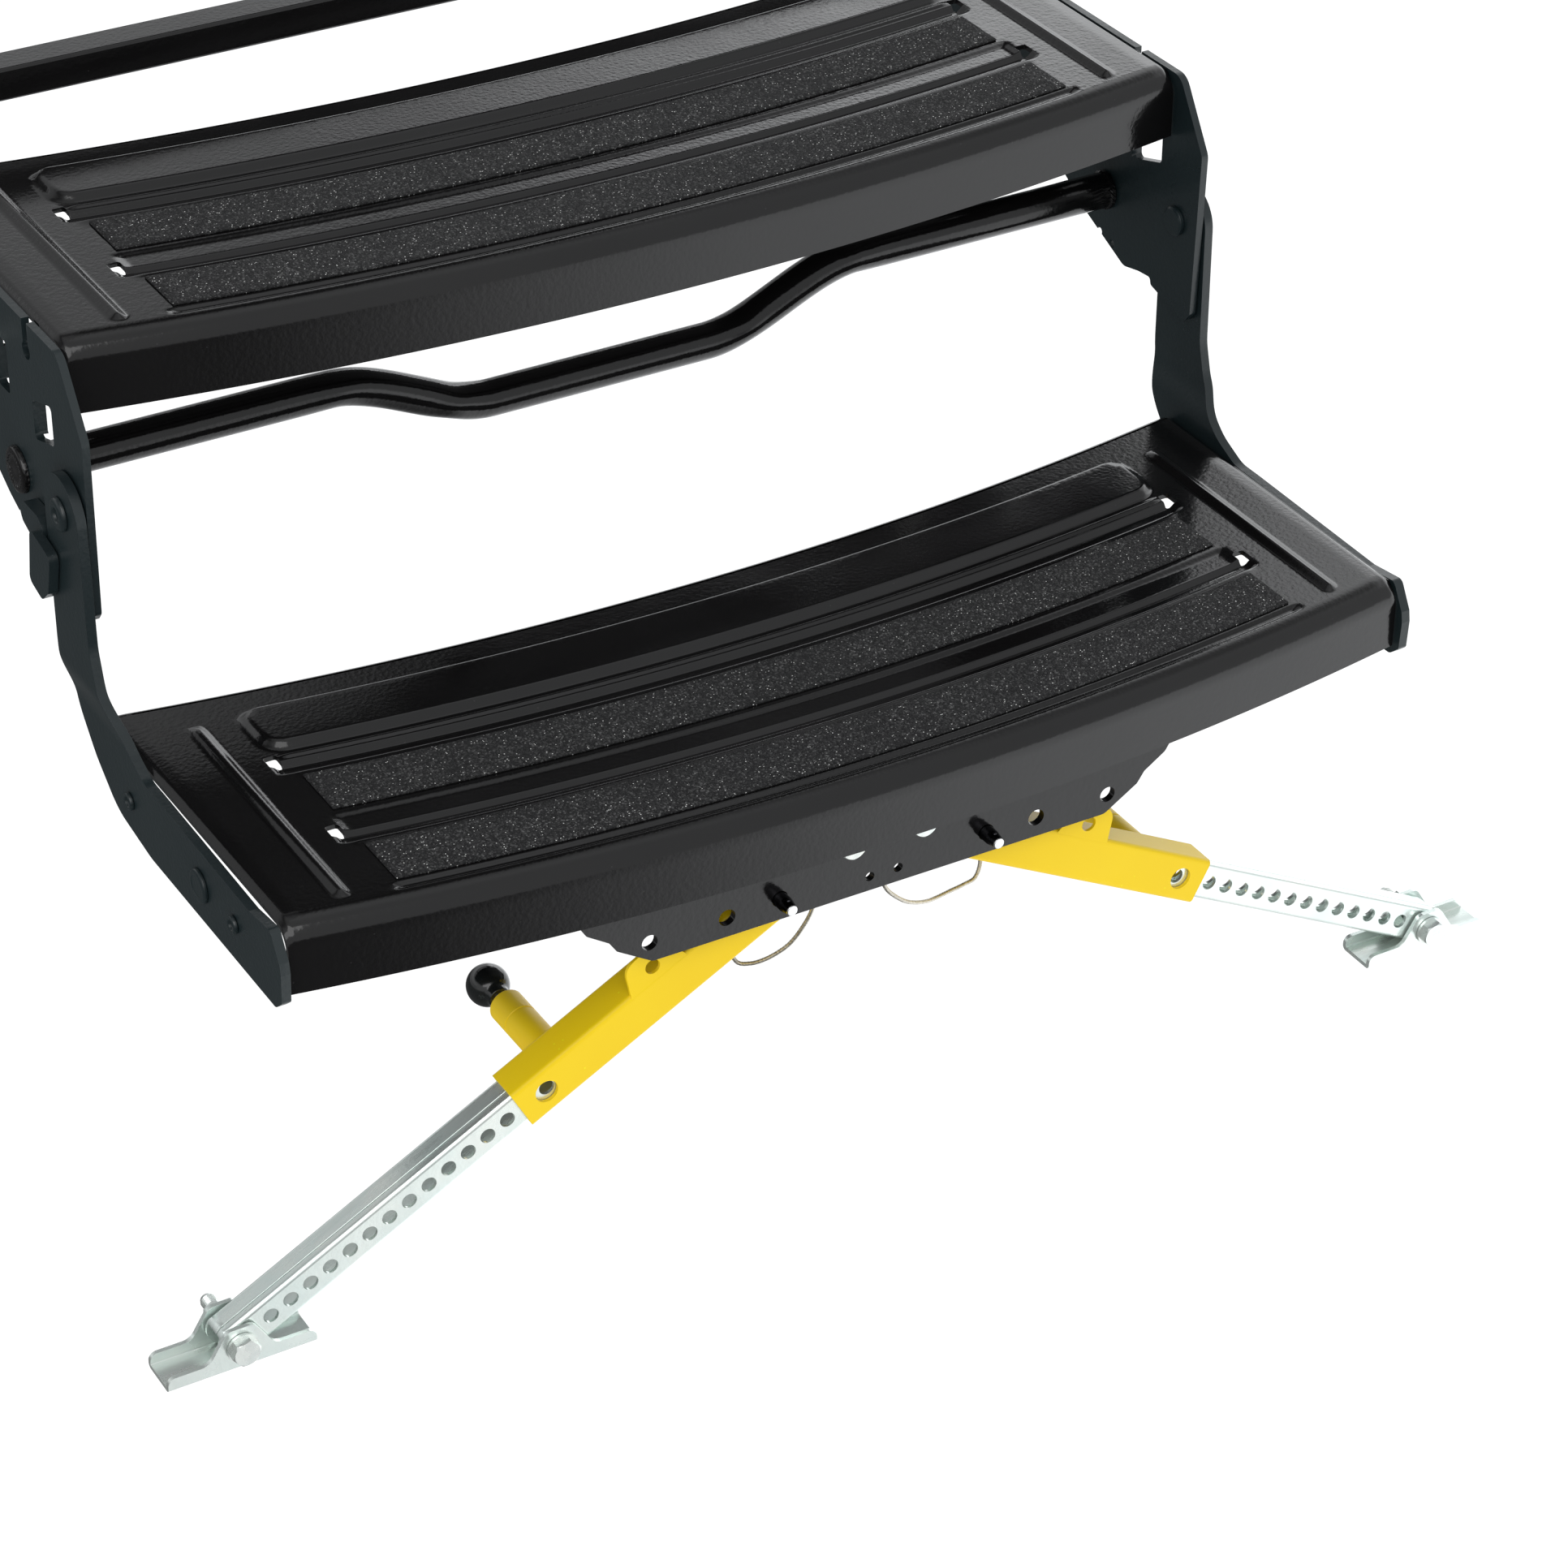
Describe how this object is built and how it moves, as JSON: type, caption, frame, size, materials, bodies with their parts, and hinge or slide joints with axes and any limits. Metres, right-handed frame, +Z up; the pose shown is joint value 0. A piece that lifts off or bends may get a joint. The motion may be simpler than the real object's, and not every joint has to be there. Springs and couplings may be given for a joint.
{
  "type": "trailer entry step",
  "caption": "Folding two-tread entry step with bowed non-slip treads, side arms, cross rod and telescoping stabiliser legs with pivoting feet",
  "frame": {"origin": "centre of the front bar's flat top face, level with the tops of the rails, where the step is held under a vehicle floor", "axes": "+Z up, -Y towards the person climbing (the treads' bowed front edges face -Y), +X to the right seen from behind the step"},
  "size_m": [0.772, 0.674, 0.4691],
  "materials": {
    "black_coat": "gloss",
    "plate_coat": "semi-gloss",
    "grit_tape": "gritty",
    "yellow_coat": "semi-gloss",
    "zinc_plate": "satin",
    "dark_chrome": "polished",
    "steel": "satin",
    "knob_plastic": "gloss",
    "wire_rope": "stranded"
  },
  "bodies": {
    "frame": {"frame_rail_L": "black_coat", "frame_rail_R": "black_coat", "frame_front_bar": "black_coat", "frame_rear_bar": "black_coat", "frame_bolt_front_L": "steel", "frame_bolt_front_R": "steel", "frame_bolt_rear_L": "steel", "frame_bolt_rear_R": "steel"},
    "front_links": {"front_link_L": "black_coat", "front_link_R": "black_coat"},
    "rear_links": {"rear_link_L": "black_coat", "rear_link_R": "black_coat"},
    "upper_step": {"upper_tread": "black_coat", "upper_grip_front": "grit_tape", "upper_grip_rear": "grit_tape", "upper_side_L": "plate_coat", "upper_side_R": "plate_coat", "cross_rod": "black_coat", "step_pivot_front_L": "steel", "step_pivot_front_R": "steel", "step_pivot_rear_L": "steel", "step_pivot_rear_R": "steel", "arm_pivot_L": "plate_coat", "arm_pivot_R": "plate_coat", "arm_stop_L": "plate_coat", "arm_stop_R": "plate_coat"},
    "lower_step": {"lower_tread": "black_coat", "lower_grip_front": "grit_tape", "lower_grip_rear": "grit_tape", "lower_arm_L": "plate_coat", "lower_arm_R": "plate_coat", "arm_rivet_front_L": "plate_coat", "arm_rivet_front_R": "plate_coat", "arm_rivet_middle_L": "plate_coat", "arm_rivet_middle_R": "plate_coat", "arm_rivet_rear_L": "plate_coat", "arm_rivet_rear_R": "plate_coat", "leg_bracket": "black_coat", "bracket_hanger": "black_coat", "bracket_bolt_L": "zinc_plate", "bracket_bolt_R": "zinc_plate", "lanyard_L": "wire_rope", "lanyard_R": "wire_rope"},
    "leg_L": {"leg_outer_L": "yellow_coat"},
    "pin_L": {"quick_pin_L": "dark_chrome"},
    "inner_L": {"leg_inner_L": "zinc_plate", "foot_bolt_L": "zinc_plate", "foot_nut_L": "zinc_plate"},
    "plunger_L": {"plunger_L": "knob_plastic", "plunger_spring_L": "steel"},
    "foot_L": {"foot_L": "zinc_plate"},
    "leg_R": {"leg_outer_R": "yellow_coat"},
    "pin_R": {"quick_pin_R": "dark_chrome"},
    "inner_R": {"leg_inner_R": "zinc_plate", "foot_bolt_R": "zinc_plate", "foot_nut_R": "zinc_plate"},
    "plunger_R": {"plunger_R": "knob_plastic", "plunger_spring_R": "steel"},
    "foot_R": {"foot_R": "zinc_plate"}
  },
  "joints": [
    {"name": "frame_fold", "type": "hinge", "parent": "frame", "child": "front_links", "pos_m": [0, 0.0315, -0.023], "axis": [1, 0, 0], "range_deg": [0, 80]},
    {"name": "rear_link_pivot", "type": "hinge", "parent": "frame", "child": "rear_links", "pos_m": [0, 0.1035, -0.023], "axis": [1, 0, 0], "range_deg": [0, 80]},
    {"name": "upper_step_pivot", "type": "hinge", "parent": "front_links", "child": "upper_step", "pos_m": [0, -0.0984, -0.098], "axis": [1, 0, 0], "range_deg": [-80, 0]},
    {"name": "lower_step_fold", "type": "hinge", "parent": "upper_step", "child": "lower_step", "pos_m": [0, -0.2395, -0.1195], "axis": [-1, 0, 0], "range_deg": [0, 172]},
    {"name": "leg_L_swing", "type": "hinge", "parent": "lower_step", "child": "leg_L", "pos_m": [-0.0583, -0.444, -0.295], "axis": [0, 1, 0], "range_deg": [0, 22]},
    {"name": "pin_L_pull", "type": "slide", "parent": "lower_step", "child": "pin_L", "axis": [0, 1, 0], "range_m": [0, 0.06]},
    {"name": "inner_L_slide", "type": "slide", "parent": "leg_L", "child": "inner_L", "axis": [-0.8829, 0, -0.4695], "range_m": [-0.0964, 0.0241]},
    {"name": "plunger_L_pull", "type": "slide", "parent": "leg_L", "child": "plunger_L", "axis": [0, 1, 0], "range_m": [0, 0.008], "stiffness_N_per_m": 800},
    {"name": "foot_L_turn", "type": "hinge", "parent": "inner_L", "child": "foot_L", "pos_m": [-0.3475, -0.444, -0.45613], "axis": [0, -1, 0], "range_deg": [-40, 24]},
    {"name": "leg_R_swing", "type": "hinge", "parent": "lower_step", "child": "leg_R", "pos_m": [0.0583, -0.444, -0.295], "axis": [0, -1, 0], "range_deg": [0, 22]},
    {"name": "pin_R_pull", "type": "slide", "parent": "lower_step", "child": "pin_R", "axis": [0, 1, 0], "range_m": [0, 0.06]},
    {"name": "inner_R_slide", "type": "slide", "parent": "leg_R", "child": "inner_R", "axis": [0.8829, 0, -0.4695], "range_m": [-0.0964, 0.0241]},
    {"name": "plunger_R_pull", "type": "slide", "parent": "leg_R", "child": "plunger_R", "axis": [0, 1, 0], "range_m": [0, 0.008], "stiffness_N_per_m": 800},
    {"name": "foot_R_turn", "type": "hinge", "parent": "inner_R", "child": "foot_R", "pos_m": [0.3475, -0.444, -0.45613], "axis": [0, 1, 0], "range_deg": [-40, 24]}
  ],
  "couplings": [
    {"joint": "rear_link_pivot", "follows": "frame_fold", "ratio": 1},
    {"joint": "upper_step_pivot", "follows": "frame_fold", "ratio": -1}
  ]
}
